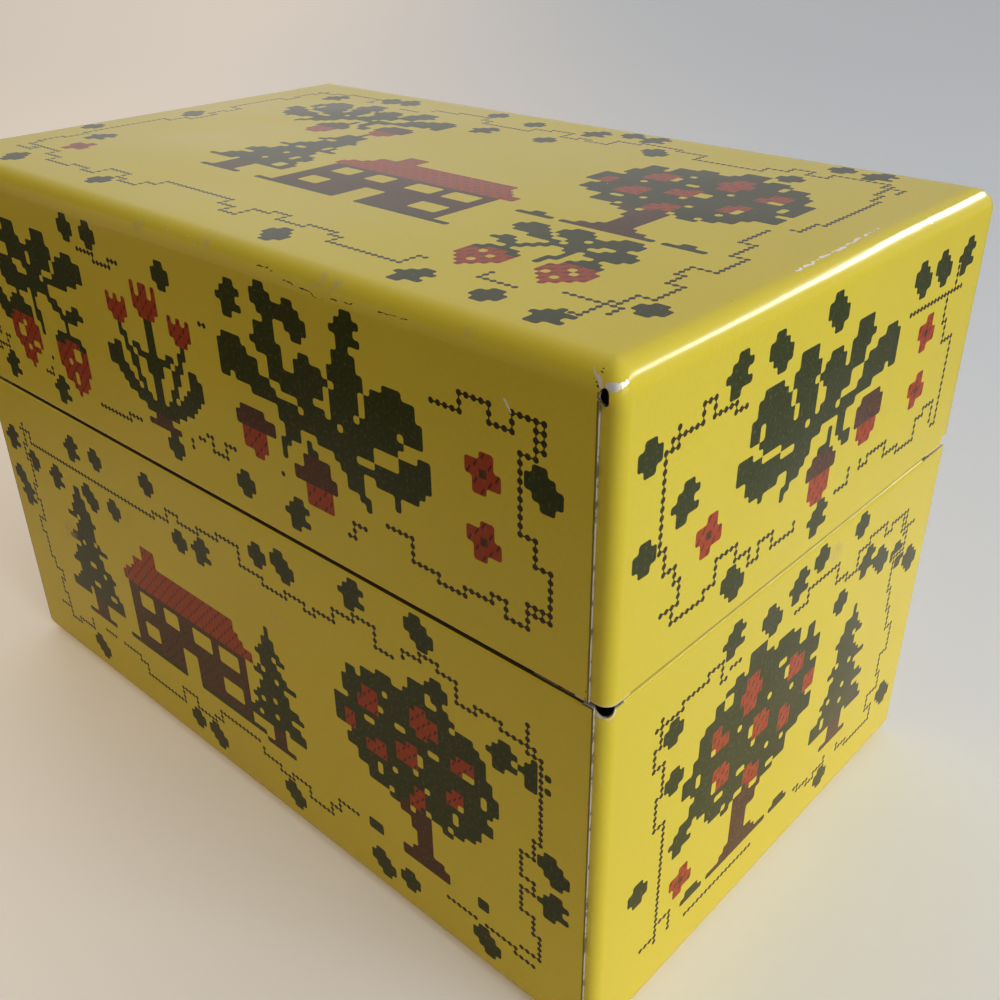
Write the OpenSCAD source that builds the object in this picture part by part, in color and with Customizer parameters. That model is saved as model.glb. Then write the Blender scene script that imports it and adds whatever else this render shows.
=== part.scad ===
// Recipe card box of folded tinplate with a deep hinged lid, shown closed.
// Millimetres. The origin is the middle of the bottom face, the front faces -Y,
// the hinge runs along the back, and +Z is up.

/* [Box] */
// Width of the box along its long front
box_w = 136; // [110:1:180]
// Depth of the box from front to back
box_d = 82; // [60:1:120]
// Height of the base, up to the hinge axis in the middle of the closing gap
base_h = 55; // [35:1:80]
// Height of the lid, from the hinge axis up to its top
lid_h = 37; // [24:1:60]

/* [Sheet and bends] */
// Thickness of the tinplate
sheet_t = 0.3; // [0.22:0.02:0.36]
// Outside radius of the bends along the top and bottom edges
edge_r = 3; // [2:0.5:5]
// Outside radius of the four upright corner bends
corner_r = 1.5; // [1.2:0.1:2]
// Flat lap between a corner bend and the raw edge of the lid's front and back flaps
lid_lap = 0.8; // [0.1:0.1:1.2]
// Flat lap between a corner bend and the raw edge of the base's front and back flaps
base_lap = 0.1; // [0.1:0.1:1.2]
// Length of the corner tabs that lie behind the front and back flaps
tab_len = 10; // [7:0.5:14]
// Diameter of the relief hole where a seam runs into the bends
relief_d = 1; // [0.8:0.1:1.4]

/* [Rim] */
// Gap between the closed lid and the shoulder of the base
rim_gap = 0.4; // [0.2:0.1:0.8]
// Distance from a flap's raw edge to where the hem or the neck starts
rim_set = 1.8; // [1.5:0.1:3]
// Distance from the back to where the neck and the end hems stop
rim_back = 8; // [5:0.5:12]
// Height of the hem that is folded up inside the lid's lower edge
lid_hem_h = 4; // [3:0.5:6]
// Space between the lid's hem and the corner tabs
hem_space = 0.6; // [0.4:0.1:1]
// Height of the neck that rises above the shoulder into the lid
neck_h = 5; // [4:0.5:5]
// Height of the hem that is folded down inside the neck's top edge
neck_hem_h = 3; // [2:0.5:3]
// Clearance between the neck and the lid's hem
neck_clear = 0.3; // [0.3:0.05:0.6]
// Diameter of the notch in each upper corner of the base
notch_d = 1.6; // [1.2:0.1:1.8]

/* [Hinge] */
// Diameter of the hinge wire
wire_d = 1.5; // [1.2:0.1:2]
// Clearance round the wire inside the knuckles
wire_clear = 0.08; // [0.06:0.01:0.1]
// Clearance between each end of the wire and the pinched knuckle ends
wire_end_clear = 0.2; // [0.1:0.05:0.4]
// Number of knuckles, of which the base has one more than the lid
knuckle_count = 7; // [3:2:11]
// Gap between neighbouring knuckles
knuckle_gap = 0.4; // [0.3:0.1:0.8]
// Distance from each end of the hinge to the end of the box
hinge_inset = 7; // [6:0.5:12]
// Angle at which the open lid's back comes to rest against the base's
open_angle = 105; // [95:1:110]
// Clearance left between the two backs at that angle
stop_clear = 0.1; // [0.05:0.05:0.2]
// Width of the slit between a curled knuckle's end and its wall
curl_slit = 0.12; // [0.1:0.02:0.2]

/* [Hidden] */
$fn = 64;
// Overshoot of a cut past the face it opens
over = 1;
// Heights of the two rims: the base's shoulder and the lid's lower edge
shoulder_z = base_h - rim_gap / 2;
lid_low_z = base_h + rim_gap / 2;
// Distances from a corner to the raw edges, and to the ends of neck and hem
lid_seam = corner_r + lid_lap;
base_seam = corner_r + base_lap;
hem_end = lid_seam + rim_set;
neck_end = base_seam + rim_set;
// The shoulder turns in over two sheets, so that the neck clears the lid's hem
shoulder_r = 2 * sheet_t;
neck_in = shoulder_r + neck_clear;
// Knuckles are curled inwards, so that the barrels are flush with the back
bore_r = wire_d / 2 + wire_clear;
barrel_r = bore_r + sheet_t;
hinge_y = box_d / 2 - barrel_r;
hinge_len = box_w - 2 * hinge_inset;
knuckle_len = (hinge_len - (knuckle_count - 1) * knuckle_gap) / knuckle_count;
wire_len = hinge_len - 2 * sheet_t - 2 * wire_end_clear;
// A back wall stays this far from the axis wherever the other piece has a
// knuckle, so that the two backs meet at open_angle
stop_h = barrel_r * tan(open_angle / 2) + stop_clear;
// Depth of the cuts that clear the hinge, inwards from the back plane
back_cut = barrel_r + 2 * sheet_t;
// Angle of the slit, where a curled barrel clears the inside of its wall
slit_angle = acos(1 - (sheet_t + curl_slit) / barrel_r);

// Left end of knuckle i, counted from the left
function knuckle_x(i) = -hinge_len / 2 + i * (knuckle_len + knuckle_gap);

// Turns a profile drawn in Y and Z into a bar of length len, centred along X
module along_x(len) {
    translate([-len / 2, 0, 0])
        rotate([90, 0, 90])
            linear_extrude(len)
                children();
}

// Turns a profile drawn in X and Z into a bar of length len, centred along Y
module along_y(len) {
    translate([0, len / 2, 0])
        rotate([90, 0, 0])
            linear_extrude(len)
                children();
}

// Rectangle with round corners
module round_rect(w, d, r) {
    square([w - 2 * r, d], center = true);
    square([w, d - 2 * r], center = true);
    for (sx = [-1, 1], sy = [-1, 1])
        translate([sx * (w / 2 - r), sy * (d / 2 - r)])
            circle(r);
}

// Section across a folded shell: open at the foot, with two bends at the top
module arch(w, h, r, foot = 0) {
    translate([-w / 2, -foot])
        square([w, h - r + foot]);
    translate([-w / 2 + r, 0])
        square([w - 2 * r, h]);
    for (s = [-1, 1])
        translate([s * (w / 2 - r), h - r])
            circle(r);
}

// Plan of a shell: the ends wrap round the corners one sheet further in than
// the front and back flaps, whose raw edges stand at the seams
module shell_plan(seam) {
    round_rect(box_w, box_d - 2 * sheet_t, corner_r);
    square([box_w - 2 * seam, box_d], center = true);
}

// Plan of the hollow: front and back are two sheets thick at the corner tabs
module hollow_plan(tab) {
    round_rect(box_w - 2 * sheet_t, box_d - 4 * sheet_t, corner_r - sheet_t);
    square([box_w - 2 * tab, box_d - 2 * sheet_t], center = true);
}

// One blank folded into a closed face at height h and four walls with their
// rim at zero. Below foot_h the corner tabs are cut back to the length foot.
module folded_shell(h, seam, foot_h, foot) {
    difference() {
        intersection() {
            linear_extrude(h) shell_plan(seam);
            along_x(box_w) arch(box_d, h, edge_r);
            along_y(box_d) arch(box_w, h, edge_r);
        }
        intersection() {
            union() {
                translate([0, 0, foot_h])
                    linear_extrude(h) hollow_plan(tab_len);
                translate([0, 0, -over])
                    linear_extrude(foot_h + over) hollow_plan(foot);
            }
            along_x(box_w)
                arch(box_d - 2 * sheet_t, h - sheet_t, edge_r - sheet_t, over);
            along_y(box_d)
                arch(box_w - 2 * sheet_t, h - sheet_t, edge_r - sheet_t, over);
        }
        for (sx = [-1, 1])
            translate([sx * (box_w / 2 - seam), 0, h - edge_r])
                rotate([90, 0, 0])
                    cylinder(d = relief_d, h = box_d + 2 * over, center = true);
    }
}

// Runs a rim profile, drawn as depth from the outer face and height above the
// rim, along the front and both ends. It stops end short of the front corners.
module along_rim(end) {
    translate([0, -box_d / 2, 0])
        along_x(box_w - 2 * end)
            children();
    for (side = [0, 1])
        mirror([side, 0, 0])
            translate([box_w / 2, (end - rim_back) / 2, 0])
                mirror([1, 0, 0])
                    along_y(box_d - end - rim_back)
                        children();
}

// Takes away the wall within the height h of a rim
module rim_cut(h) {
    translate([-over, -h])
        square([shoulder_r + 2 * over, 2 * h]);
}

// Quarter of a bend in the sheet, with the outside radius r
module bend(r) {
    intersection() {
        difference() {
            circle(r);
            circle(r - sheet_t);
        }
        square(r);
    }
}

// Shoulder, neck and hemmed top edge of the base, starting below the shoulder
module neck_profile() {
    translate([shoulder_r, -shoulder_r])
        rotate(90)
            bend(shoulder_r);
    translate([shoulder_r, neck_clear])
        rotate(270)
            bend(neck_clear + sheet_t);
    translate([neck_in, neck_clear])
        square([sheet_t, neck_h - neck_clear - sheet_t]);
    translate([neck_in + sheet_t, neck_h - sheet_t])
        circle(sheet_t);
    translate([neck_in + sheet_t, neck_h - sheet_t - neck_hem_h])
        square([sheet_t, neck_hem_h]);
}

// Hem of the lid, folded flat against the inside of the wall
module hem_profile() {
    translate([sheet_t, sheet_t])
        circle(sheet_t);
    translate([sheet_t, sheet_t])
        square([sheet_t, lid_hem_h - sheet_t]);
}

// Tongue of a back wall, curled inwards round the axis from a wall below it
module curl_profile() {
    difference() {
        circle(barrel_r);
        circle(bore_r);
        polygon([
            [0, 0],
            [2 * barrel_r, 0],
            [2 * barrel_r, -2 * barrel_r * tan(slit_angle)]
        ]);
    }
    translate([barrel_r - sheet_t, -stop_h - over])
        square([sheet_t, stop_h + over]);
}

// Knuckles of one piece, from the first one on, every second one, with the
// wall that they grow from below the axis
module knuckles(first) {
    for (i = [first : 2 : knuckle_count - 1])
        translate([knuckle_x(i) + knuckle_len / 2, hinge_y, 0])
            along_x(knuckle_len)
                curl_profile();
}

// Clears the back wall of the base below each knuckle of the lid
module knuckle_notches() {
    for (i = [1 : 2 : knuckle_count - 1])
        translate([knuckle_x(i) - knuckle_gap, box_d / 2 - back_cut, base_h - stop_h])
            cube([knuckle_len + 2 * knuckle_gap, back_cut + over, 2 * stop_h]);
}

// Clears the whole lower back edge of the lid, out to both corners
module lid_back_cut() {
    translate([-box_w / 2 - over, box_d / 2 - back_cut, base_h - over])
        cube([box_w + 2 * over, back_cut + over, stop_h + over]);
}

// Notches in the base's upper corners, where the neck of one wall ends
module corner_notches() {
    for (sx = [-1, 1], sy = [-1, 1])
        translate([sx * box_w / 2, sy * (box_d / 2 - sheet_t), shoulder_z])
            rotate([90, 0, sx * sy * 135])
                cylinder(d = notch_d, h = 4 * corner_r, center = true);
}

// Knuckle ends pinched shut at both ends of the hinge, which hold the wire in
module pinched_ends() {
    for (side = [0, 1])
        mirror([side, 0, 0])
            translate([hinge_len / 2 - sheet_t, hinge_y, base_h])
                rotate([0, 90, 0])
                    cylinder(r = barrel_r, h = sheet_t);
}

// Lower tray: bottom, four walls, shoulder, neck and the outer hinge knuckles
module base_shell() {
    color([0.84, 0.78, 0.27]) {
        difference() {
            translate([0, 0, shoulder_z])
                mirror([0, 0, 1])
                    folded_shell(shoulder_z, base_seam, 0, tab_len);
            translate([0, 0, shoulder_z])
                along_rim(neck_end)
                    rim_cut(shoulder_r);
            knuckle_notches();
            corner_notches();
        }
        translate([0, 0, shoulder_z])
            along_rim(neck_end)
                neck_profile();
        translate([0, 0, base_h])
            knuckles(0);
        pinched_ends();
    }
}

// Deep lid: top, four walls, hem and the inner hinge knuckles
module lid_shell() {
    color([0.80, 0.73, 0.30]) {
        difference() {
            translate([0, 0, lid_low_z])
                folded_shell(base_h + lid_h - lid_low_z, lid_seam,
                             lid_hem_h + hem_space, hem_end - hem_space);
            translate([0, 0, lid_low_z])
                along_rim(hem_end)
                    rim_cut(sheet_t);
            lid_back_cut();
        }
        translate([0, 0, lid_low_z])
            along_rim(hem_end)
                hem_profile();
        translate([0, 0, base_h])
            mirror([0, 0, 1])
                knuckles(1);
    }
}

// Steel wire through all the knuckles
module hinge_wire() {
    color([0.72, 0.73, 0.75])
        translate([0, hinge_y, base_h])
            rotate([0, 90, 0])
                cylinder(d = wire_d, h = wire_len, center = true);
}

base_shell();
lid_shell();
hinge_wire();
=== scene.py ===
import math
import random

import bmesh
import bpy
import numpy as np
from mathutils import Matrix, Vector


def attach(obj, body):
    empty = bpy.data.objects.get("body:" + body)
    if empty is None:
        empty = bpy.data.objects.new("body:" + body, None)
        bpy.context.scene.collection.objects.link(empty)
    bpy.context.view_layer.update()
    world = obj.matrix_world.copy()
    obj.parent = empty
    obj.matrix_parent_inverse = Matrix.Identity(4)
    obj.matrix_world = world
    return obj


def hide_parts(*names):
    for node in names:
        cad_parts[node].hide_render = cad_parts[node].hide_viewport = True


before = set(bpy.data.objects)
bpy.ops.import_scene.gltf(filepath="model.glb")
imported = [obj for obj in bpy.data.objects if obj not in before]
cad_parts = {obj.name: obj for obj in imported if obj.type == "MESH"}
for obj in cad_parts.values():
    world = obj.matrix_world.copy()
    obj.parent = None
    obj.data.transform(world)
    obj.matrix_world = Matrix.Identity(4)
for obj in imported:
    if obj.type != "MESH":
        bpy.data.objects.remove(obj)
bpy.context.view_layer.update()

# Base, the lower half of the box. The real one is a blank of printed tinplate
# folded into a tray, with tabs lapped behind the front and back flaps, a hemmed
# neck that rises inside the lid, and tongues curled round the hinge wire.
MM = 0.001
SHEET = 0.3
HALF_W, HALF_D, TALL = 68.0, 41.0, 92.0
BEND_R, CORNER_R = 3.0, 1.5
FLAT_X, FLAT_Y = 65, 38
WRAP_Y = HALF_D - SHEET - 0.02
AXIS_Y, AXIS_Z, BARREL_R = 39.87, 55.0, 1.13
CURL_DROP, CURL_TURN = 1.573, 309
WRAP_END, TAB_END, SIDE_RIM_END = 65.7, 58.0, 33
BASE_SEAM, BASE_RIM, SHOULDER_R, NECK_RISE, NECK_HEM = 1.6, 54.2, 0.6, 4.4, 3.0
RELIEF_R, NOTCH_R, LEAST = 0.5, 0.95, 0.02
GROUND = (0.80, 0.66, 0.050)
INKS = {"g": (0.028, 0.042, 0.001), "b": (0.085, 0.029, 0.010), "r": (0.41, 0.046, 0.006),
        "o": (0.036, 0.026, 0.004)}
# The second colour is the dark brown of dust specks and grit, and of the painted shade in the split
# and at the corner seams; the first is worn-through tin, also used for the painted highlight of the
# lid's corner glint.
BARE_TIN_AND_GLINT, DIRT_AND_SHADE = (0.93, 0.92, 0.90), (0.035, 0.022, 0.010)


class Tone:
    """A value that varies over a finish: Python's operators add Math nodes."""

    def __init__(self, finish, node, out):
        self.finish, self.node, self.socket = finish, node, node.outputs[out]

    def out(self, name):
        return Tone(self.finish, self.node, name)

    def work(self, operation, *others):
        return self.finish.add("ShaderNodeMath", {"operation": operation},
                               dict(enumerate([self, *others])))

    def __add__(self, other):
        return self.work("ADD", other)

    def __sub__(self, other):
        return self.work("SUBTRACT", other)

    def __mul__(self, other):
        return self.work("MULTIPLY", other)

    def __truediv__(self, other):
        return self.work("DIVIDE", other)

    def __rsub__(self, other):
        return (self * -1) + other

    def __gt__(self, other):
        return self.work("GREATER_THAN", other)

    def __lt__(self, other):
        return self.work("LESS_THAN", other)

    def __abs__(self):
        return self.work("ABSOLUTE")

    def least(self, other):
        return self.work("MINIMUM", other)

    def most(self, other):
        return self.work("MAXIMUM", other)

    __radd__, __rmul__ = __add__, __mul__


class Finish:
    """The nodes of a material or a world, laid down one after another."""

    def __init__(self, owner):
        owner.use_nodes = True
        self.owner, self.tree = owner, owner.node_tree

    def fill(self, socket, value):
        if isinstance(value, Tone):
            self.tree.links.new(value.socket, socket)
        elif hasattr(value, "__len__") and len(value) == 3 and socket.type == "RGBA":
            socket.default_value = (*value, 1)
        else:
            socket.default_value = value

    def add(self, kind, settings=None, inputs=None, out=0):
        node = self.tree.nodes.new(kind)
        for name, value in (settings or {}).items():
            setattr(node, name, value)
        for name, value in (inputs or {}).items():
            self.fill(node.inputs[name], value)
        return Tone(self, node, out)

    def vector(self, operation, *inputs, out="Vector"):
        return self.add("ShaderNodeVectorMath", {"operation": operation},
                        dict(enumerate(inputs)), out)

    def scale(self, vector, size):
        return self.add("ShaderNodeVectorMath", {"operation": "SCALE"},
                        {0: vector, "Scale": size})

    def place(self):
        """Where a point is on the piece, in millimetres."""
        return self.scale(self.add("ShaderNodeTexCoord", out="Object"), 1 / MM)

    def cloud(self, place, size, detail=2.0, stretch=None, out="Fac"):
        """Soft noise from 0 to 1 whose patches are size millimetres across."""
        if stretch:
            place = self.vector("MULTIPLY", place, stretch)
        return self.add("ShaderNodeTexNoise", {}, {
            "Vector": place, "Scale": 1 / size, "Detail": detail}, out)

    def shaken(self, place, size, reach):
        """The place, pushed about by noise, so that what is drawn there wanders."""
        shake = self.vector("SUBTRACT", self.cloud(place, size, 1, out="Color"), (0.5, 0.5, 0.5))
        return self.vector("ADD", place, self.scale(shake, 2 * reach))

    def step_up(self, value, low, high):
        """0 below low, 1 above high, and smooth between them."""
        return self.add("ShaderNodeMapRange", {"interpolation_type": "SMOOTHSTEP"}, {
            "Value": value, "From Min": low, "From Max": high})

    def blend(self, share, first, second):
        return self.add("ShaderNodeMix", {"data_type": "RGBA"},
                        {0: share, 6: first, 7: second}, out=2)

    def line_to(self, place, points):
        """Distance in millimetres to a line drawn through the points."""
        nearest = None
        for start, end in zip(points, points[1:]):
            run = Vector(end) - Vector(start)
            offset = self.vector("SUBTRACT", place, start)
            share = self.vector("DOT_PRODUCT", offset, run / run.length_squared, out="Value")
            foot = self.scale(tuple(run), share.most(0).least(1))
            away = self.vector("DISTANCE", offset, foot, out="Value")
            nearest = nearest.least(away) if nearest else away
        return nearest

    def spread(self, **sockets):
        """Feeds the named sockets of the shader, and gives back the material."""
        coat = self.tree.nodes["Principled BSDF"]
        for name, value in sockets.items():
            self.fill(coat.inputs[name.replace("_", " ")], value)
        return self.owner


def printed_tinplate(name, seam_x, shade_heights, highlight_and_wear_heights, cracks, scrapes_and_glint, scuffs):
    """Yellow litho ground with inks worked in stitches, under gloss lacquer. Painted
    shade, a dark band, lies between two heights, in the split under the lid's edge,
    and the print is painted pale between two others: a painted highlight along the
    lid's hem, and on the base a pale worn underside. The cracks are dark lines drawn
    through points. The scraped marks are worn to the tin, and one of them is a painted
    highlight, a near-white glint at the lid's near corner; each is (width, points).
    The scuffs are dull (x, y, z, radius)."""
    tin = Finish(bpy.data.materials.new(name))
    place = tin.place()
    net = tin.add("ShaderNodeSeparateXYZ", inputs={
        0: tin.add("ShaderNodeUVMap", {"uv_map": "stitches"})})
    x, y = net.work("FRACT") - 0.5, net.out("Y").work("FRACT") - 0.5
    ink = tin.add("ShaderNodeAttribute", {"attribute_name": "ink"}, out="Color")
    kind = ink.out("Alpha")
    solid, dot, empty = kind > 0.75, (kind > 0.25) * (kind < 0.75), kind < 0.25
    corners = tin.add("ShaderNodeAttribute", {"attribute_name": "corners"}, out="Color")
    split = tin.add("ShaderNodeSeparateColor", inputs={0: corners})
    low_left, low_right, top_left, top_right = (
        split, split.out("Green"), split.out("Blue"), corners.out("Alpha"))
    low = low_left + (low_right - low_left) * (x > 0)
    top = top_left + (top_right - top_left) * (x > 0)
    corner = low + (top - low) * (y > 0)
    past_x, past_y = (abs(x) - 0.1).most(0), (abs(y) - 0.1).most(0)
    cut = corner * ((past_x * past_x + past_y * past_y) > 0.16)
    link_x = (abs(y) < 0.1) * low
    link_y = (abs(x) < 0.1) * (top_left + (top_right - top_left) * (y > 0))
    bead = ((x * x + y * y) < 0.14).most(link_x).most(link_y)
    inked = solid * (1 - cut) + empty * cut + dot * bead

    mottle, grain = tin.cloud(place, 16, 2), tin.cloud(place, 0.5, 1)
    ground = tin.blend(mottle, tuple(c * 0.95 for c in GROUND), GROUND)
    ground = tin.blend(tin.step_up(grain, 0.35, 0.8) * 0.10, ground, (0.9, 0.8, 0.3))
    odd = (net.work("FLOOR") + net.out("Y").work("FLOOR")).work("MULTIPLY", 0.5).work("FRACT") > 0.25
    dash = odd * (abs(x - y * 0.6) < 0.15) * (abs(x + y) < 0.62)
    redness = tin.add("ShaderNodeSeparateColor", inputs={0: ink}) > 0.3
    ink_tone = tin.blend(dash * (0.3 + redness * 0.55), ink, (0.030, 0.010, 0.006))
    ink_tone = tin.blend(tin.step_up(grain, 0.55, 0.75) * 0.10, ink_tone, (0.5, 0.42, 0.2))
    colour = tin.blend(inked, ground, ink_tone)

    flake = tin.cloud(place, 0.9, 3)
    reach = tin.add("ShaderNodeSeparateXYZ", inputs={0: place})
    along_x, along_y, height = abs(reach), abs(reach.out("Y")), reach.out("Z")
    on_flap, on_end = along_y > HALF_D - 0.9, along_x > HALF_W - 0.9
    # Painted shade: a dark hairline on the flap beside its raw edge at the corner seam, in the gap
    # between flap and wrap.
    seam_shade_line = (abs(along_x - (seam_x - 0.12)) < (flake * 0.12 + 0.07)) * (along_y > HALF_D - 0.05)
    # Painted shade: a dark band between the two heights, in the split under the lid's edge, full on
    # the front and back flaps, patchy and fainter on the ends.
    split_shade = (height > shade_heights[0]) * (height < shade_heights[1]) * (
        on_flap + on_end * mottle * 0.45).least(1)
    # Painted highlight on the lid: a pale band along the hem's lower edge; on the base, a pale worn
    # underside.
    highlight_and_wear = (height > highlight_and_wear_heights[0]) * (height < highlight_and_wear_heights[1]) * (0.3 + flake * 0.4)
    wander = tin.shaken(place, 1.5, 0.5)
    specks = tin.add("ShaderNodeTexVoronoi", {}, {"Vector": place, "Scale": 1 / 11}, "Distance")
    # Dark dust specks, with the painted shade at the corner seams and in the split, and the dark
    # cracks.
    dirt_and_shade = (specks < 0.010).most(seam_shade_line * 0.75).most(split_shade)
    for points in cracks:
        dirt_and_shade = dirt_and_shade.most((tin.line_to(wander, points) + grain * 0.16) < 0.15)
    bend = tin.add("ShaderNodeAttribute", {"attribute_name": "bend"}, out="Fac")
    bare = tin.step_up(flake + tin.cloud(place, 11, 2) * 0.5 + bend * 0.14, 1.17, 1.2)
    # Scraped marks worn to the tin; the wide one at the lid's near corner is a painted highlight, a
    # near-white glint.
    for width, points in scrapes_and_glint:
        depth = (width - tin.line_to(wander, points)) / width
        bare = bare.most(tin.step_up(depth + flake * 1.6, 1.25, 1.4))
    dull = 0
    for *spot, radius in scuffs:
        away = tin.vector("DISTANCE", wander, tuple(spot), out="Value")
        dull = (1 - tin.step_up(away, 0.2 * radius, radius)).most(dull)
    dull = dull * tin.step_up(flake, 0.38, 0.62)
    colour = tin.blend(dull * 0.55, colour, (0.58, 0.47, 0.26))
    colour = tin.blend(highlight_and_wear, colour, (0.80, 0.72, 0.50))
    # Bare tin where worn through, also the painted highlight of that glint.
    colour = tin.blend(bare, colour, BARE_TIN_AND_GLINT)
    colour = tin.blend(dirt_and_shade * 0.96, colour, DIRT_AND_SHADE)

    dents = tin.add("ShaderNodeBump", {}, {
        "Strength": 1.0, "Distance": 0.0009, "Height": tin.cloud(place, 34, 1)})
    peel = tin.add("ShaderNodeBump", {}, {
        "Strength": 0.3, "Distance": 0.00002, "Height": tin.cloud(place, 0.8, 2), "Normal": dents})
    return tin.spread(Base_Color=colour, Metallic=bare * 0.6, Normal=peel,
                      Roughness=0.14 + mottle * 0.08 + bare * 0.34 + dull * 0.3 + dirt_and_shade * 0.4,
                      Specular_IOR_Level=0.2)


def bare_tinplate(name, colour, roughness, metal=1.0, grit=0.0):
    """Sheet as the mill rolled it: fine lines along the sheet, dull stains, and
    on cut edges a share of grit caught in them."""
    tin = Finish(bpy.data.materials.new(name))
    place = tin.place()
    rolled = tin.cloud(place, 1.0, 3, (0.08, 1.4, 1.4))
    stain = tin.step_up(tin.cloud(place, 18, 4), 0.5, 0.8)
    tone = tin.blend(stain * 0.5, colour, tuple(c * k for c, k in zip(colour, (0.8, 0.72, 0.6))))
    tone = tin.blend(tin.step_up(tin.cloud(place, 1.3, 3), 0.50, 0.62) * grit, tone, DIRT_AND_SHADE)
    return tin.spread(Base_Color=tone, Metallic=metal,
                      Roughness=roughness + rolled * 0.15 + stain * 0.1)


def is_at(a, b):
    return abs(a - b) < LEAST


def choose(test, kind="EDGE", level=False):
    """Selects the edges, faces or corners of the piece in hand that pass
    test(x, y, z) in millimetres; if level is set, only edges that lie level."""
    mesh = bpy.context.object.data
    bpy.ops.mesh.select_mode(type=kind)
    bpy.ops.mesh.select_all(action="DESELECT")
    drawing = bmesh.from_edit_mesh(mesh)
    passed = {v for v in drawing.verts if test(*(v.co / MM))}
    if kind == "VERT":
        parts = passed
    elif kind == "FACE":
        parts = {f for v in passed for f in v.link_faces if passed.issuperset(f.verts)}
    else:
        parts = {e for v in passed for e in v.link_edges if e.other_vert(v) in passed and not (
            level and not is_at(v.co.z / MM, e.other_vert(v).co.z / MM))}
    for part in parts:
        part.select_set(True)
    bmesh.update_edit_mesh(mesh)


def draw_out(x=0.0, y=0.0, z=0.0, steps=1):
    """Runs the chosen edges on, in equal steps of x, y, z millimetres."""
    bpy.ops.mesh.extrude_repeat(steps=steps, offset=(x * MM, y * MM, z * MM))


def turn(degrees, axis, x=0.0, y=0.0, z=0.0, steps=10):
    """Bends the sheet on from the chosen edges, about a line through x, y, z."""
    bpy.ops.mesh.spin(steps=steps, angle=math.radians(degrees), axis=axis,
                      center=(x * MM, y * MM, z * MM))


def fold_half(name, front_rows, back_rows, rear_rows, seam):
    """Right half of a folded blank: its closed face at z = 0, walls hanging
    down in rows of 1 mm, corners drawn out almost square, and the end's two
    wraps, which go round the upright corners and lie behind the flaps."""
    bpy.ops.object.select_all(action="DESELECT")
    bpy.ops.mesh.primitive_grid_add(x_subdivisions=FLAT_X, y_subdivisions=2 * FLAT_Y,
                                    size=1, location=(FLAT_X / 2 * MM, 0, 0))
    tin = bpy.context.object
    tin.name = name
    tin.scale = (FLAT_X * MM, 2 * FLAT_Y * MM, 1)
    bpy.ops.object.transform_apply(location=True, rotation=True, scale=True)
    bpy.ops.object.mode_set(mode="EDIT")

    choose(lambda x, y, z: is_at(y, -FLAT_Y))
    turn(-90, (1, 0, 0), y=-FLAT_Y, z=-BEND_R)
    draw_out(z=-1, steps=front_rows)
    choose(lambda x, y, z: is_at(y, FLAT_Y))
    turn(90, (1, 0, 0), y=FLAT_Y, z=-BEND_R)
    draw_out(z=-1, steps=back_rows)
    choose(lambda x, y, z: is_at(x, FLAT_X) and abs(y) < FLAT_Y + LEAST)
    turn(-90, (0, 1, 0), x=FLAT_X, z=-BEND_R)
    draw_out(z=-1, steps=front_rows)

    for side, rows in ((-1, front_rows), (1, rear_rows)):
        top, low = -BEND_R - 1, -BEND_R - rows
        choose(lambda x, y, z: is_at(y, side * FLAT_Y) and x > FLAT_X - LEAST
               and z > -BEND_R - LEAST)
        turn(-side * 90, (0, 0, 1), x=FLAT_X, y=side * FLAT_Y, steps=12)
        for step in range(1, 12):
            heading = math.radians(step * 7.5)
            out = (math.cos(heading) ** 4 + math.sin(heading) ** 4) ** -0.25
            choose(lambda x, y, z: math.hypot(x - FLAT_X, side * y - FLAT_Y) > 0.1
                   and abs(math.atan2(side * y - FLAT_Y, x - FLAT_X) - heading) < 0.02
                   and z > -BEND_R - LEAST, kind="VERT")
            bpy.ops.transform.resize(value=(out, out, 1), center_override=(
                FLAT_X * MM, side * FLAT_Y * MM, 0))
        choose(lambda x, y, z: is_at(x, HALF_W) and is_at(y, side * FLAT_Y)
               and low - LEAST < z < top + LEAST)
        draw_out(y=side * (WRAP_Y - CORNER_R - FLAT_Y))
        turn(-side * 90, (0, 0, 1), x=HALF_W - CORNER_R,
             y=side * (WRAP_Y - CORNER_R), steps=6)
        draw_out(x=-0.8)
        choose(lambda x, y, z: side * y > FLAT_Y - LEAST and (
            (is_at(z, -BEND_R) and x > FLAT_X - LEAST
             and math.hypot(x - FLAT_X, abs(y) - FLAT_Y) > BEND_R - 0.1)
            or (is_at(z, top) and x > 65.6 and abs(y) < WRAP_Y + LEAST)), level=True)
        bpy.ops.mesh.bridge_edge_loops()
        choose(lambda x, y, z: is_at(x, FLAT_X) and is_at(y, side * HALF_D)
               and low - LEAST < z < top + LEAST)
        draw_out(x=HALF_W - seam - FLAT_X)
    bpy.ops.mesh.select_all(action="SELECT")
    bpy.ops.mesh.remove_doubles(threshold=0.01 * MM)
    return tin


def roll_rim(height, front_to, end_from, end_to, bends):
    """Folds the rim on from a height, along half the front and along the end.
    Each bend is (degrees, depth, height) for a turn about a line at that depth
    from the outer face, or (rise,) for a straight run."""
    for along_front in (True, False):
        if along_front:
            choose(lambda x, y, z: is_at(y, -HALF_D) and is_at(z, height)
                   and x < front_to + LEAST)
        else:
            choose(lambda x, y, z: is_at(x, HALF_W) and is_at(z, height)
                   and end_from - LEAST < y < end_to + LEAST)
        for bend in bends:
            if len(bend) == 1:
                draw_out(z=bend[0])
            elif along_front:
                turn(-bend[0], (1, 0, 0), y=-HALF_D + bend[1], z=bend[2], steps=6)
            else:
                turn(-bend[0], (0, 1, 0), x=HALF_W - bend[1], z=bend[2], steps=6)


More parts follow.
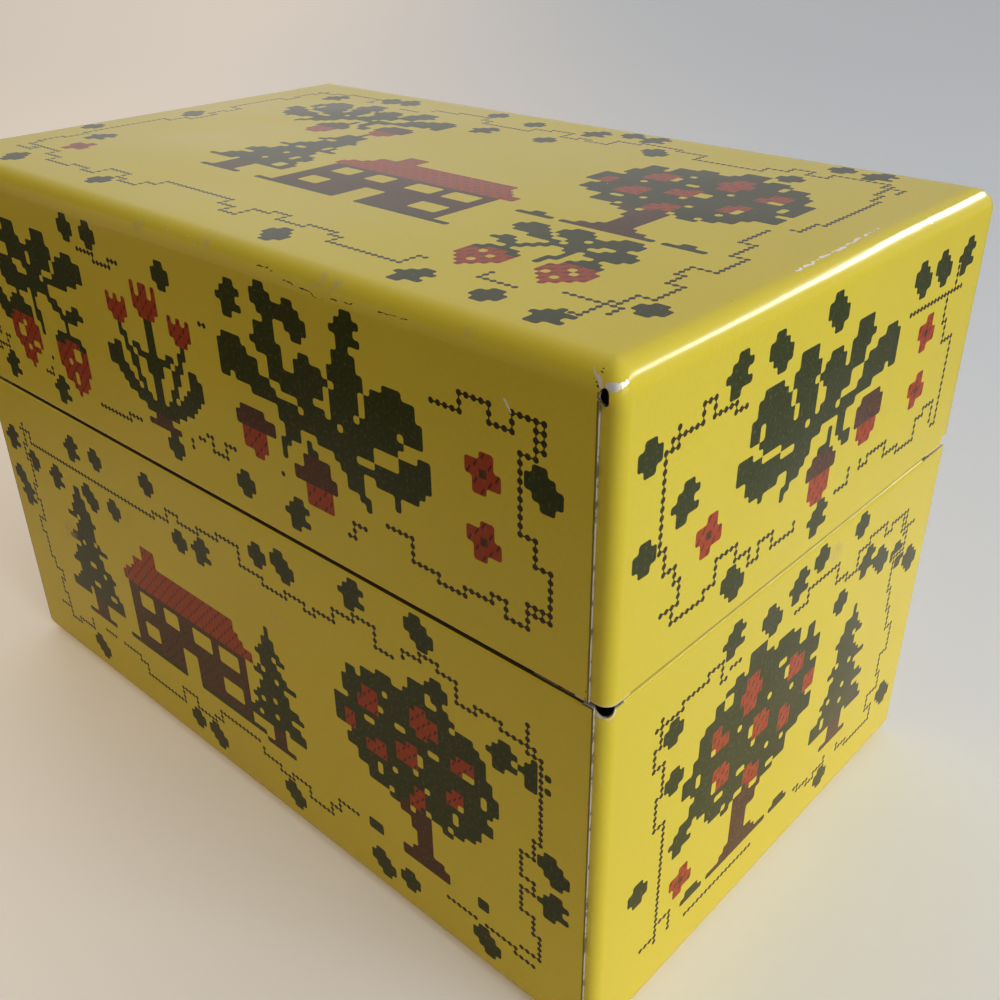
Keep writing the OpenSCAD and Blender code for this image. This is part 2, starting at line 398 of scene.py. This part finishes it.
def curl_tongue(height, column_from, column_to, x_from, x_to, axis_z):
    """Curls the back wall's edge between two columns inwards round the wire."""
    for column, x_end in ((column_from, x_from), (column_to, x_to)):
        choose(lambda x, y, z: is_at(x, column) and is_at(y, HALF_D)
               and is_at(z, height), kind="VERT")
        bpy.ops.transform.translate(value=((x_end - column) * MM, 0, 0))
    choose(lambda x, y, z: is_at(y, HALF_D) and is_at(z, height)
           and x_from - LEAST < x < x_to + LEAST)
    draw_out(z=-CURL_DROP)
    turn(CURL_TURN, (1, 0, 0), y=AXIS_Y, z=axis_z, steps=36)


def make_whole(tin, upright, lift, finishes):
    """Adds the left half, stands the piece the right way up, turns its faces
    outwards and gives the sheet its thickness. The three finishes go on the
    printed side, the inside and the cut edges."""
    bpy.ops.object.mode_set(mode="OBJECT")
    halves = tin.modifiers.new("left half", "MIRROR")
    halves.merge_threshold = 0.01 * MM
    bpy.ops.object.modifier_apply(modifier=halves.name)
    tin.scale.z = upright
    tin.location.z = lift * MM
    bpy.ops.object.transform_apply(location=True, rotation=True, scale=True)
    bpy.ops.object.mode_set(mode="EDIT")
    bpy.ops.mesh.select_all(action="SELECT")
    bpy.ops.mesh.normals_make_consistent(inside=False)
    bpy.ops.object.mode_set(mode="OBJECT")
    sheet = tin.modifiers.new("sheet", "SOLIDIFY")
    sheet.thickness = (SHEET - 0.01) * MM
    sheet.offset = -1
    sheet.use_even_offset = True
    sheet.material_offset = 1
    sheet.material_offset_rim = 2
    for finish in finishes:
        tin.data.materials.append(finish)
    bpy.ops.object.modifier_apply(modifier=sheet.name)


def punch(tin, holes):
    """Cuts holes through the sheet. A hole is (x, y, z, radius, how much taller
    than wide, turn about Z)."""
    bpy.ops.object.select_all(action="DESELECT")
    punches = []
    for x, y, z, radius, taller, heading in holes:
        bpy.ops.mesh.primitive_cylinder_add(
            vertices=24, radius=radius * MM, depth=4 * MM,
            location=(x * MM, y * MM, z * MM),
            rotation=(math.radians(90), 0, math.radians(heading)))
        bpy.context.object.scale = (1, taller, 1)
        punches.append(bpy.context.object)
    for each in punches:
        each.select_set(True)
    bpy.ops.object.transform_apply(location=True, rotation=True, scale=True)
    bpy.ops.object.join()
    cutter = bpy.context.object
    for finish in tin.data.materials:
        cutter.data.materials.append(finish)
    bpy.ops.object.mode_set(mode="EDIT")
    bpy.ops.mesh.select_all(action="SELECT")
    cutter.active_material_index = 2
    bpy.ops.object.material_slot_assign()
    bpy.ops.object.mode_set(mode="OBJECT")
    bpy.context.view_layer.objects.active = tin
    cut = tin.modifiers.new("holes", "BOOLEAN")
    cut.object = cutter
    cut.solver = "EXACT"
    bpy.ops.object.modifier_apply(modifier=cut.name)
    bpy.data.objects.remove(cutter)


def weld_to(tin):
    """Joins the small piece in hand to the sheet."""
    tin.select_set(True)
    bpy.context.view_layer.objects.active = tin
    bpy.ops.object.join()


def square_flaps(tin, seam, slit, bend):
    """Fills the flaps' four corners, between the end of the slit beside the
    flap and the bend: small tongues of sheet, each cut off slantwise."""
    width, thick, tall = HALF_W - seam - FLAT_X, SHEET - 0.01, abs(bend - slit)
    for side_x, side_y in ((1, 1), (1, -1), (-1, 1), (-1, -1)):
        bpy.ops.object.select_all(action="DESELECT")
        bpy.ops.mesh.primitive_cube_add(size=MM, location=(
            side_x * (FLAT_X + width / 2) * MM, side_y * (HALF_D - thick / 2) * MM,
            (bend + slit) / 2 * MM))
        tongue = bpy.context.object
        tongue.scale = (width, thick, tall)
        bpy.ops.object.transform_apply(location=True, rotation=True, scale=True)
        for finish in tin.data.materials:
            tongue.data.materials.append(finish)
        bpy.ops.object.mode_set(mode="EDIT")
        choose(lambda x, y, z: is_at(abs(x), FLAT_X + width), kind="FACE")
        tongue.active_material_index = 2
        bpy.ops.object.material_slot_assign()
        choose(lambda x, y, z: is_at(abs(x), FLAT_X + width) and is_at(z, bend), kind="VERT")
        bpy.ops.transform.translate(value=(0, 0, (slit - bend) * 0.3 * MM))
        bpy.ops.object.mode_set(mode="OBJECT")
        weld_to(tin)


def finish_piece(tin, body, node):
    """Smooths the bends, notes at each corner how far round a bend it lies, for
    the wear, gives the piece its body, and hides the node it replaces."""
    bpy.ops.object.select_all(action="DESELECT")
    tin.select_set(True)
    bpy.context.view_layer.objects.active = tin
    bpy.ops.object.shade_smooth_by_angle(angle=math.radians(35))
    normals = np.zeros(len(tin.data.vertices) * 3)
    tin.data.vertices.foreach_get("normal", normals)
    turned = 1 - abs(normals.reshape(-1, 3)).max(1)
    layer = tin.data.attributes.new("bend", "FLOAT", "POINT")
    layer.data.foreach_set("value", np.clip(turned * 3.4, 0, 1).astype(np.float32))
    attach(tin, body)
    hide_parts(node)


inside = bare_tinplate("bare tinplate inside", (0.60, 0.58, 0.53), 0.26)
cut_edge = bare_tinplate("cut edge", (0.60, 0.575, 0.54), 0.34, metal=0.3, grit=0.75)
# On the base the band from 54.6 to 55.1 mm is painted shade in the split under the lid's edge.
base_print = printed_tinplate(
    "printed tinplate base", HALF_W - BASE_SEAM, shade_heights=(54.6, 55.1), highlight_and_wear_heights=(-1, 0.2),
    cracks=[[(66.4, -40.9, 33), (66.45, -40.85, 31)]],
    scrapes_and_glint=[(0.5, [(66.4, -40.7, 54.5), (66.8, -40.65, 53.9), (67.56, -40.24, 53.6),
                    (67.9, -39.8, 53.9), (68, -39.4, 54.7)]),
             (0.2, [(66.3, -40.9, 31.6), (66.5, -40.8, 30.4)])],
    scuffs=[(12, -41, 40, 2.0), (67.9, 8, 51, 2.5), (-48, -41, 30, 3.0)])

base_tin = fold_half("base_tin", 51, 50, 51, BASE_SEAM)
choose(lambda x, y, z: is_at(x, WRAP_END) and is_at(abs(y), WRAP_Y))
draw_out(x=TAB_END - WRAP_END)
choose(lambda x, y, z: is_at(z, -54))
draw_out(z=54 - BASE_RIM)
choose(lambda x, y, z: is_at(z, -BASE_RIM) and (
    y > 32.98 or (y < -37.98 and x > 64.98) or (-40.9 < y < -37.98 and x > 57.98)))
draw_out(z=-SHOULDER_R)
roll_rim(-BASE_RIM, FLAT_X, -FLAT_Y, SIDE_RIM_END, [
    (90, SHOULDER_R, -BASE_RIM), (-90, SHOULDER_R, -55.1), (-NECK_RISE,),
    (180, 2 * SHOULDER_R, -59.5), (NECK_HEM,)])
choose(lambda x, y, z: is_at(z, -53) and is_at(y, HALF_D))
draw_out(z=-0.427)
curl_tongue(-53.427, 9, 26, 8.943, 26.028, -AXIS_Z)
curl_tongue(-53.427, 44, 61, 43.914, 61, -AXIS_Z)
choose(lambda x, y, z: is_at(z, -53.427) and is_at(y, HALF_D) and x > 60.98)
draw_out(z=-1.373)
make_whole(base_tin, -1, 0, (base_print, inside, cut_edge))
corner_signs = [(sx, sy) for sx in (1, -1) for sy in (1, -1)]
punch(base_tin, [(sx * 66.85, sy * HALF_D, 2.9, RELIEF_R, 1.2, 0) for sx, sy in corner_signs]
      + [(sx * 67.9, sy * 40.8, 54.7, NOTCH_R, 1, -sx * sy * 45) for sx, sy in corner_signs])
square_flaps(base_tin, BASE_SEAM, BEND_R + 1, BEND_R)
for side in (1, -1):
    bpy.ops.object.select_all(action="DESELECT")
    bpy.ops.mesh.primitive_cylinder_add(
        vertices=40, radius=BARREL_R * MM, depth=SHEET * MM,
        location=(side * 60.85 * MM, AXIS_Y * MM, AXIS_Z * MM), rotation=(0, math.radians(90), 0))
    bpy.ops.object.transform_apply(location=True, rotation=True, scale=True)
    bpy.context.object.data.materials.append(cut_edge)
    weld_to(base_tin)


TREE = """
..........ggg............
.......gg.gggg.ggg.......
......gggggggggggggg.....
....gg.gggrrgggggggg.gg..
...ggggggrrrrggg.gggggg..
..gggggggrrrrgggggrrgggg.
..ggrrggggrrggggg.rrrggg.
.gggrrrggggggg.gggrrrgg..
.ggg.rrgg.ggggggggggggggg
ggggggggggggrrggggg.ggggg
gg.gggggggg.rrrgggggggrrg
.ggggrrgggggrrrggrrgggrrg
..gggrrrgggg.ggggrrrggg..
.gggg.rrgggggggggrrrgggg.
.ggggggggg.gggg.gggggggg.
...ggg.ggggrrggggg.ggg...
....gggggggrrrgggggg.....
.....gg.gg.grrgg.ggg.....
.......gg.bbb.bgg........
..........bbbbb..........
..........bbbb...........
..........bbb............
..........bbb............
..........bbb............
.........bbbbb...........
..gg....bbbbbbb....gg....
.gggg.gbbbbbbbbbg.gggg...
"""
HOUSE = """
......rrr..................
......rrr..................
....rrrrrrrrrrrrrrrrrrr....
...rrrrrrrrrrrrrrrrrrrrr...
..rrrrrrrrrrrrrrrrrrrrrrr..
.rrrrrrrrrrrrrrrrrrrrrrrrr.
..bbbbbbbbbbbbbbbbbbbbbbb..
..bb...bb...bbb...bb...bb..
..bb...bb...bbb...bb...bb..
..bbbbbbbbbbbbbbbbbbbbbbb..
..bbbbbbbbbbbbbbbbbbbbbbb..
..bb...bbbbb...bbbbb...bb..
..bb...bbbbb...bbbbb...bb..
..bbbbbbbbbb...bbbbbbbbbb..
..bbbbbbbbbb...bbbbbbbbbb..
gggggggggggg...gggggggggggg
"""
PINE = """
......g......
.....ggg.....
.....ggg.....
....ggggg....
...gg.gggg...
.....gggg....
....ggggg....
...ggggg.g...
..ggg.ggggg..
....ggggg....
...ggggggg...
..gggg.gggg..
.gggggggg.gg.
...gggggggg..
..gggg.ggggg.
.ggggggggg.gg
gggg.gggggggg
.....bbb.....
.....bbb.....
.....bbb.....
...gbbbbbg...
"""
LEAVES = ("""
.gg..
gggg.
ggggg
.gggg
..gg.
""", """
.gg.
gggg
gggg
.gg.
""", """
..gg.
.gggg
gggg.
.gggg
.gg..
""")
FLOWER = """
..rr.
rrrr.
rrbrr
.rrrr
.rr..
"""


def blank_chart(columns, rows):
    return [["."] * columns for _ in range(rows)]


def stitch(chart, motif, column, row, turned=False, size=1.0):
    """Works a motif into a chart, its top left at a column and row."""
    lines = motif.split()
    wide, high = round(len(lines[0]) * size), round(len(lines) * size)
    for down in range(high):
        for along in range(wide):
            line = lines[int(down / size)]
            ink = line[-1 - int(along / size)] if turned else line[int(along / size)]
            if ink != ".":
                chart[row + down][column + along] = ink


def grow_vine(chart, inset, seed):
    """A vine of dots that wanders round the panel in steps and stops short of
    the motifs, with leaves beside it and a flower near each corner."""
    draw = random.Random(seed)
    rows, columns = len(chart), len(chart[0])
    worked = [line[:] for line in chart]

    def is_clear(cells, near, within):
        return all(0 <= r < rows and 0 <= c < columns for r, c in cells) and not any(
            within[q][p] != "." for r, c in cells
            for q in range(max(r - near, 0), min(r + near + 1, rows))
            for p in range(max(c - near, 0), min(c + near + 1, columns)))

    def put(shape, row, column, near):
        lines = shape.split()
        cells = [(row + r, column + c) for r, line in enumerate(lines)
                 for c, ink in enumerate(line) if ink != "."]
        if is_clear(cells, near, chart):
            for r, c in cells:
                chart[r][c] = lines[r - row][c - column]

    for length, cell in ((columns, lambda a, d: (d, a)),
                         (columns, lambda a, d: (rows - 1 - d, a)),
                         (rows, lambda a, d: (a, d)),
                         (rows, lambda a, d: (a, columns - 1 - d))):
        along, depth, leaves = inset + 1, inset + 2, []
        while along < length - inset - 3:
            until = along + draw.choice((2, 3, 3, 4, 5))
            dots = [cell(a, depth) for a in range(along, until + 1)]
            along, was = until, depth
            depth = min(max(depth + draw.choice((-3, -2, -1, 1, 2, 3)), inset), inset + 4)
            dots += [cell(along, d) for d in range(min(was, depth), max(was, depth) + 1)]
            for r, c in dots:
                if is_clear([(r, c)], 2, worked):
                    chart[r][c] = "o"
            if draw.random() < 0.6:
                beside = draw.choice((-6, 2)) + (min(was, depth) if depth < was else max(was, depth))
                leaves.append((along - 2, max(beside, 0)))
        for a, d in leaves:
            r, c = cell(a, d)
            put(draw.choice(LEAVES), min(max(r, 0), rows - 6), min(max(c, 0), columns - 6), 0)
    for row in (inset + 6, rows - inset - 11):
        for column in (inset + 7, columns - inset - 12):
            put(FLOWER, row, column, 1)


def print_panel(tin, chart, facing, left, foot):
    """Lays a chart on the flat panel that faces a way such as "-Y": each face
    there gets its ink, how its corners are rounded, and its place in the net."""
    axis = "XYZ".index(facing[1])
    sign = -1 if facing[0] == "-" else 1
    level, rise = ((1, 2), (0, 2), (0, 1))[axis]
    net = np.array(chart)[::-1].T
    if facing in ("+Y", "-X"):
        net = net[::-1]
    wide, high = net.shape
    edge = np.full((wide + 2, high + 2), ".")
    edge[1:-1, 1:-1] = net
    inks = np.zeros((wide, high, 4))
    corners = np.zeros((wide, high, 4))
    for i in range(wide):
        for j in range(high):
            own = edge[i + 1, j + 1]
            around = {(a, b): edge[i + 1 + a, j + 1 + b] for a in (-1, 0, 1) for b in (-1, 0, 1)}
            if own == "o":
                inks[i, j] = (*INKS["o"], 0.5)
                corners[i, j] = [around[spot] == "o" for spot in ((-1, 0), (1, 0), (0, -1), (0, 1))]
                continue
            if own != ".":
                inks[i, j] = (*INKS[own], 1)
            for k, (a, b) in enumerate(((-1, -1), (1, -1), (-1, 1), (1, 1))):
                beside, over, past = around[a, 0], around[0, b], around[a, b]
                if own != ".":
                    corners[i, j, k] = all(ink in ".o" for ink in (beside, over, past))
                elif beside == over == past and beside in "gbr":
                    corners[i, j, k] = 1
                    inks[i, j] = (*INKS[beside], 0)

    mesh = tin.data
    count = len(mesh.polygons)
    centre, normal = np.zeros(count * 3), np.zeros(count * 3)
    slots = np.zeros(count, int)
    mesh.polygons.foreach_get("center", centre)
    mesh.polygons.foreach_get("normal", normal)
    mesh.polygons.foreach_get("material_index", slots)
    centre, normal = centre.reshape(-1, 3) / MM, normal.reshape(-1, 3)
    size = (HALF_W, HALF_D, TALL)[axis]
    on = (normal[:, axis] * sign > 0.999) & (slots == 0) & (
        abs(centre[:, axis] - sign * size) < 0.05)
    i = np.floor(centre[:, level] - left).astype(int)
    j = np.floor(centre[:, rise] - foot).astype(int)
    on &= (i >= 0) & (i < wide) & (j >= 0) & (j < high)
    for name, values in (("ink", inks), ("corners", corners)):
        held = np.zeros(count * 4)
        if name in mesh.attributes:
            mesh.attributes[name].data.foreach_get("color", held)
        else:
            mesh.attributes.new(name, "FLOAT_COLOR", "FACE")
        layer = mesh.attributes[name]
        held = held.reshape(-1, 4)
        held[on] = values[i[on], j[on]]
        layer.data.foreach_set("color", held.ravel())
    stitches = mesh.uv_layers.get("stitches") or mesh.uv_layers.new(name="stitches")
    loops = len(mesh.loops)
    corner_at, spots = np.zeros(loops, int), np.zeros(len(mesh.vertices) * 3)
    mesh.loops.foreach_get("vertex_index", corner_at)
    mesh.vertices.foreach_get("co", spots)
    spots = spots.reshape(-1, 3)[corner_at] / MM
    starts, totals = np.zeros(count, int), np.zeros(count, int)
    mesh.polygons.foreach_get("loop_start", starts)
    mesh.polygons.foreach_get("loop_total", totals)
    on_loop = np.repeat(on, totals)
    laid = np.zeros(loops * 2)
    stitches.data.foreach_get("uv", laid)
    laid = laid.reshape(-1, 2)
    laid[on_loop] = spots[on_loop][:, (level, rise)]
    stitches.data.foreach_set("uv", laid.ravel())


base_front = blank_chart(130, 51)
stitch(base_front, PINE, 14, 13, size=1.3)
stitch(base_front, HOUSE, 32, 17, size=1.4)
stitch(base_front, PINE, 66, 17, turned=True, size=1.1)
stitch(base_front, TREE, 88, 10, turned=True, size=1.2)
grow_vine(base_front, 5, 3)
base_back = blank_chart(130, 51)
stitch(base_back, TREE, 14, 10, size=1.2)
stitch(base_back, HOUSE, 50, 18, turned=True, size=1.3)
stitch(base_back, TREE, 92, 14, turned=True)
grow_vine(base_back, 5, 8)
base_end = blank_chart(76, 51)
stitch(base_end, TREE, 13, 8, size=1.3)
stitch(base_end, PINE, 47, 16, turned=True, size=1.2)
grow_vine(base_end, 5, 5)
for chart, facing, left in ((base_front, "-Y", -65), (base_back, "+Y", -65),
                            (base_end, "+X", -38), (base_end, "-X", -38)):
    print_panel(base_tin, chart, facing, left, 3)
finish_piece(base_tin, "base", "base_shell")

# Lid, the upper half of the box. The real one is a second blank of the same
# tinplate, folded the same way, with its lower edge turned up inside as a hem
# and its own tongues between the base's on the hinge wire.
LID_SEAM, LID_RIM, LID_HEM, HEM_END = 2.3, 36.5, 3.7, 64.0
LOW_TAB_END = 64.5
# On the lid the pale band from 55.1 to 55.42 mm is a painted highlight along the hem's lower edge.
lid_print = printed_tinplate(
    "printed tinplate lid", HALF_W - LID_SEAM, shade_heights=(0, 0), highlight_and_wear_heights=(55.1, 55.42),
    cracks=[[(16.8, -40.6, 90.5), (17.5, -40.4, 90.8), (19.8, -40.6, 90.5)],
            [(21.8, -40.85, 89.9), (25.2, -40.9, 89.75), (28.1, -40.95, 89.4),
             (31.3, -40.9, 89.8), (34.8, -40.8, 90.1)],
            [(37.3, -40.8, 90.1), (41.4, -40.75, 90.2)],
            [(64.9, -39.9, 91.4), (66.1, -40.5, 90.3)], [(64.4, -40.3, 91.0), (65.5, -40.9, 89.9)],
            [(65.3, -39.8, 91.3), (65.9, -40.2, 90.8), (66.4, -40.4, 90.4)],
            [(65.35, -41, 56.6), (65.3, -41, 55.3)],
            [(-24.6, -41, 63.9), (-24.0, -41, 63.2)],
            [(65.4, -19.8, 92), (65.5, -19.4, 92)],
            [(67.9, -23.0, 85.2), (68, -22.8, 85)],
            [(-3.4, -41, 56.0), (-3.2, -41, 55.3)]],
    scrapes_and_glint=[(0.26, [(64.6, -40.05, 91.2), (65.3, -40.6, 90.5), (65.8, -40.85, 89.9)]),
             # Painted highlight: a wide near-white band of bare tin along the corner's fold, laid
             # where the window's glint runs, joining the streak.
             (0.68, [(66.4, -40.6, 90.1), (66.9, -40.4, 90.2), (67.48, -39.9, 90.45),
                    (67.6, -39.2, 90.9)]),
             (0.35, [(65.35, -7.5, 92), (64.7, 12.7, 92)]),
             (0.18, [(66.9, 20.8, 91.3), (67.1, 22.0, 91.1)]),
             (0.3, [(54.4, -41, 85.6), (55.3, -41, 84.4)])],
    scuffs=[(27.2, -40.05, 91.2, 1.6), (29.8, -40.2, 91.0, 1.3), (6.0, -40, 91.2, 1.8),
            (-8, -40.5, 90.6, 1.6), (49.6, -40.3, 91, 1.2)])

lid_tin = fold_half("lid_tin", 33, 32, 32, LID_SEAM)
choose(lambda x, y, z: is_at(x, WRAP_END) and is_at(abs(y), WRAP_Y))
draw_out(x=LOW_TAB_END - WRAP_END)
choose(lambda x, y, z: is_at(x, LOW_TAB_END) and is_at(abs(y), WRAP_Y) and z > -32.02)
draw_out(x=TAB_END - LOW_TAB_END)
choose(lambda x, y, z: is_at(z, -36))
draw_out(z=36 - LID_RIM)
choose(lambda x, y, z: is_at(z, -LID_RIM) and (
    (y > 32.98 and x > 67.9) or (y < -36.98 and x > 63.98)))
draw_out(z=-SHEET)
roll_rim(-LID_RIM, HEM_END, -37, SIDE_RIM_END, [(180, SHEET, -LID_RIM), (LID_HEM,)])
choose(lambda x, y, z: is_at(z, -35) and y > 37.98, level=True)
draw_out(z=-0.427)
curl_tongue(-35.427, -1, 9, -1, 8.543, AXIS_Z - TALL)
curl_tongue(-35.427, 26, 44, 26.428, 43.514, AXIS_Z - TALL)
make_whole(lid_tin, 1, TALL, (lid_print, inside, cut_edge))
punch(lid_tin, [(sx * 66.15, sy * HALF_D, 89.1, 1.1 * RELIEF_R, 1.65, 0)
                for sx, sy in corner_signs])
square_flaps(lid_tin, LID_SEAM, TALL - BEND_R - 1, TALL - BEND_R)

OAK = """
.........ggg........ggg........
...ggg..ggggg..gg..ggggg.......
..ggggg.ggggg.gggg.gggg...ggg..
..gggggg.ggg.ggggg.ggg...ggggg.
.ggggggg.gggg.gggggggg.ggggggg.
.gg.ggggg.ggg..ggggg..gggggggg.
...gggggggggg.gggg...gggggg.gg.
gg..ggggggg.ggggg.ggggggg......
gggg...gggggggggggggg..........
ggggggg...ggggg...gg...bbbb....
.gggggggggggg...g.gg..bbbbbb...
..ggggg..ggg...gg..gg.bbbbbb...
....g....gg...bbbb..g..rrrr....
........gg...bbbbbb....rrrr....
........g....bbbbbb.....rr.....
..............rrrr.............
..............rrrr.............
...............rr..............
"""
TULIPS = """
........r.r.r........
........rrrrr........
.r.r.r..rrrrr..r.r.r.
.rrrrr...rrr...rrrrr.
.rrrrr....g....rrrrr.
..rrr.....g.....rrr..
...g......g......g...
...gg.....g.....gg...
....g.gg..g..gg.g....
.gg.gg.ggggggg.gg.gg.
ggg..gg..ggg..gg..ggg
gggg..g...g...g..gggg
.gggg.gg..g..gg.gggg.
..gggg.g..g..g.gggg..
...gggggg.g.gggggg...
.....ggggggggggg.....
.......ggggggg.......
.........bbb.........
.......bbbbbbb.......
"""
BERRIES = """
....ggg....ggg.........
...ggggg..ggggg..ggg...
...gggggggggggg.ggggg..
....ggggg.gggg.gggggg..
..ggg..ggggg..gggggg...
.ggggg..ggg.ggggg......
.gggggggggggg..........
..ggggg.gg..gg...gg....
....g...g....gg.gggg...
...ggg..g.....gggg.....
..ggggg.gg.....g.......
..rrrrr..g...ggggg.....
.rrr.rrr.g..ggrrrgg....
.rr.rrrr....rrrr.rr....
.rrrrr.r....rr.rrrr....
..rr.rr.....rrrrrrr....
...rrr.......rr.rr.....
....r.........rrr......
...............r.......
"""

lid_top = blank_chart(130, 76)
stitch(lid_top, HOUSE, 52, 35, size=1.4)
stitch(lid_top, PINE, 34, 28, size=1.4)
stitch(lid_top, TREE, 88, 12, turned=True, size=1.3)
stitch(lid_top, OAK, 14, 10, size=1.2)
stitch(lid_top, BERRIES, 94, 48, turned=True)
grow_vine(lid_top, 5, 12)
lid_front = blank_chart(130, 33)
stitch(lid_front, BERRIES, 12, 4, size=1.3)
stitch(lid_front, TULIPS, 44, 6, size=1.1)
stitch(lid_front, OAK, 70, 5, turned=True, size=1.25)
grow_vine(lid_front, 4, 21)
lid_back = blank_chart(130, 33)
stitch(lid_back, OAK, 22, 5, size=1.2)
stitch(lid_back, TULIPS, 78, 6, size=1.1)
grow_vine(lid_back, 4, 25)
lid_end = blank_chart(76, 33)
stitch(lid_end, OAK, 18, 5, size=1.2)
grow_vine(lid_end, 4, 29)
for chart, facing, left, foot in (
        (lid_top, "+Z", -65, -38), (lid_front, "-Y", -65, 56), (lid_back, "+Y", -65, 56),
        (lid_end, "+X", -38, 56), (lid_end, "-X", -38, 56)):
    print_panel(lid_tin, chart, facing, left, foot)
finish_piece(lid_tin, "lid", "lid_shell")

# Hinge wire. The real one is a straight length of drawn steel wire, pushed
# through the tongues and held by the pinched ends of the outer two. The packed
# model's own shape stays, and gets the drawn steel's lines and a little rust.
wire = Finish(bpy.data.materials.new("drawn steel wire"))
wire_place = wire.place()
drawn = wire.cloud(wire_place, 0.25, 2, (0.05, 1, 1))
rust = wire.step_up(wire.cloud(wire_place, 3, 4), 0.56, 0.7)
wire_steel = wire.spread(
    Base_Color=wire.blend(rust * 0.7, wire.blend(drawn, (0.34, 0.34, 0.33), (0.50, 0.49, 0.47)),
                          (0.16, 0.07, 0.03)),
    Metallic=1 - rust * 0.6, Roughness=0.25 + drawn * 0.15 + rust * 0.35)
hinge_wire = bpy.data.objects["hinge_wire"]
hinge_wire.data.materials.clear()
hinge_wire.data.materials.append(wire_steel)

# Table: a plain pale top, sealed and a little glossy, larger than any view shows.
# Its colour is painted light: warm on the left and cool on the right, greyer far off
# on the right, and it shows the lens a paler colour than it throws back on to the box,
# less so the further it lies from the box. For the lens it also glows, a painted fill
# of light, warm on the left and fading to a faint blue on the right.
table_finish = Finish(bpy.data.materials.new("pale table top"))
table_place = table_finish.place()
left_to_right = table_finish.step_up(table_finish.vector(
    "DOT_PRODUCT", table_place, (0.73, 0.68, 0), out="Value"), -260, 240)
near_to_far = table_finish.step_up(table_finish.vector(
    "DOT_PRODUCT", table_place, (-0.68, 0.73, 0), out="Value"), 0, 800)
seen_by_lens = table_finish.add("ShaderNodeLightPath", out="Is Camera Ray")
# Painted light: warm on the left and cool on the right, as the lens sees it.
seen = table_finish.blend(left_to_right, (0.97, 0.90, 0.82), (0.86, 0.90, 0.93))
seen = table_finish.blend(left_to_right * near_to_far * 0.15, seen, (0.55, 0.56, 0.57))
# Painted light: a glow that only the lens sees, stronger on the near side.
glow = table_finish.blend(near_to_far, (0.25, 0.19, 0.115), (0.15, 0.12, 0.09))
from_box = table_finish.vector("LENGTH", table_place, out="Value")
# Painted shade: what it throws back on to the box is pale within 80 mm of the box and dark beyond
# 240 mm.
lit_back = table_finish.blend(
    table_finish.step_up(from_box, 80, 240), (0.92, 0.81, 0.66), (0.12, 0.10, 0.08))
glow = table_finish.blend(left_to_right, glow, (0.0, 0.02, 0.045))
table_top = table_finish.spread(
    Base_Color=table_finish.blend(seen_by_lens, lit_back, seen),
    Roughness=0.30 + table_finish.cloud(table_place, 4, 3) * 0.06, Specular_IOR_Level=0.25,
    Emission_Color=table_finish.blend(seen_by_lens, (0, 0, 0), glow), Emission_Strength=1.0)
bpy.ops.object.select_all(action="DESELECT")
bpy.ops.mesh.primitive_plane_add(size=12)
table = bpy.context.object
table.name = "table"
table.data.materials.append(table_top)

# Studio: soft walls that are bright behind and dim in front, a wide soft lamp on
# the right, a low warm lamp at the left front, and a wide, low window behind. The
# window lights gloss only, and draws the streak along the lid's right bend.
studio = bpy.data.worlds.new("studio")
bpy.context.scene.world = studio
walls = Finish(studio)
heading = walls.add("ShaderNodeTexCoord", out="Generated")
towards = walls.vector("DOT_PRODUCT", heading, (0.35, 0.93, 0.10), out="Value")
ramp = walls.add("ShaderNodeValToRGB", {}, {0: towards * 0.5 + 0.5}, out="Color")
stops = ramp.node.color_ramp.elements
stops[0].position, stops[0].color = 0.0, (0.030, 0.020, 0.012, 1)
stops[1].position, stops[1].color = 1.0, (0.42, 0.40, 0.41, 1)
for position, colour in ((0.30, (0.15, 0.11, 0.07, 1)), (0.62, (0.76, 0.73, 0.69, 1))):
    stop = stops.new(position)
    stop.color = colour
walls.fill(walls.tree.nodes["Background"].inputs["Color"], ramp)


def hang_lamp(name, place, aim, wide, high, watts, colour, lights=True):
    lamp_data = bpy.data.lights.new(name, "AREA")
    lamp_data.shape, lamp_data.size, lamp_data.size_y = "RECTANGLE", wide, high
    lamp_data.energy, lamp_data.color = watts, colour
    lamp = bpy.data.objects.new(name, lamp_data)
    bpy.context.scene.collection.objects.link(lamp)
    lamp.location = place
    lamp.rotation_euler = (Vector(aim) - Vector(place)).to_track_quat("-Z", "Y").to_euler()
    lamp.visible_camera, lamp.visible_diffuse = False, lights


hang_lamp("right lamp", (0.98, 0.02, 0.36), (0.05, 0, 0.05),
          wide=0.7, high=0.6, watts=5.3, colour=(0.93, 0.965, 1.0))
hang_lamp("warm lamp", (-0.30, -0.32, 0.10), (-0.05, -0.04, 0.04),
          wide=0.3, high=0.3, watts=0.20, colour=(1.0, 0.70, 0.42))
hang_lamp("window", (0.65, 1.04, 0.63), (0.067, 0.0, 0.09),
          wide=1.15, high=0.11, watts=12.0, colour=(1.0, 1.0, 1.0), lights=False)

# Camera at the photograph's place, angle and lens, fitted to the box's edges.
camera = bpy.data.objects.new("camera", bpy.data.cameras.new("camera"))
bpy.context.scene.collection.objects.link(camera)
camera.data.lens, camera.data.sensor_width = 39.80, 36
camera.data.clip_start = 0.01
camera.matrix_world = (Matrix.Translation((0.11874, -0.11077, 0.12859))
                       @ Matrix.Rotation(math.radians(42.93), 4, "Z")
                       @ Matrix.Rotation(math.radians(90 - 29.61), 4, "X")
                       @ Matrix.Rotation(math.radians(-0.76), 4, "Z"))
bpy.context.scene.camera = camera
bpy.context.scene.view_settings.view_transform = "Standard"
